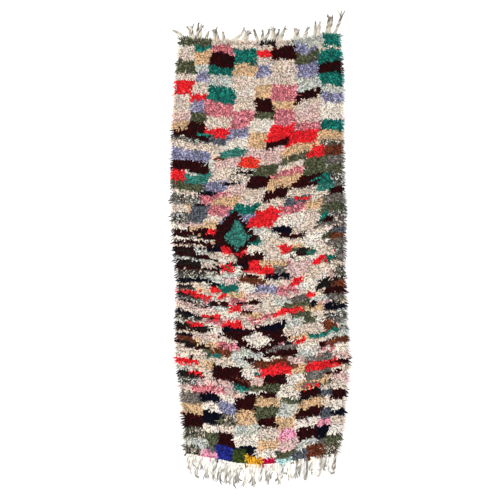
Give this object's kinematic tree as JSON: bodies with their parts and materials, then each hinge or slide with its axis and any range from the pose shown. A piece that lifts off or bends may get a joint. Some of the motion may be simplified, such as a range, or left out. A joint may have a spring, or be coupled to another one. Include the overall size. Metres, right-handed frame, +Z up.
{
  "type": "boucherouite rug",
  "caption": "Long shaggy rag-pile rug lying flat, with loose tassels at its far end and a close row of warp ends at its near end.",
  "frame": {"origin": "on the floor, under the middle of the pile field", "axes": "+X across the rug, to the right seen from the near end; +Y along the rug, towards the end with the loose tassels; +Z up, out of the pile"},
  "size_m": [1.1819, 3.206, 0.0312],
  "materials": {
    "pile_yarn": "matt shaggy pile of wool, cotton and acrylic strips in many colours",
    "warp_yarn": "matt undyed twisted warp yarn"
  },
  "bodies": {
    "root": {"pile_field": "pile_yarn", "fringe_far": "warp_yarn", "fringe_near": "warp_yarn"}
  },
  "joints": []
}
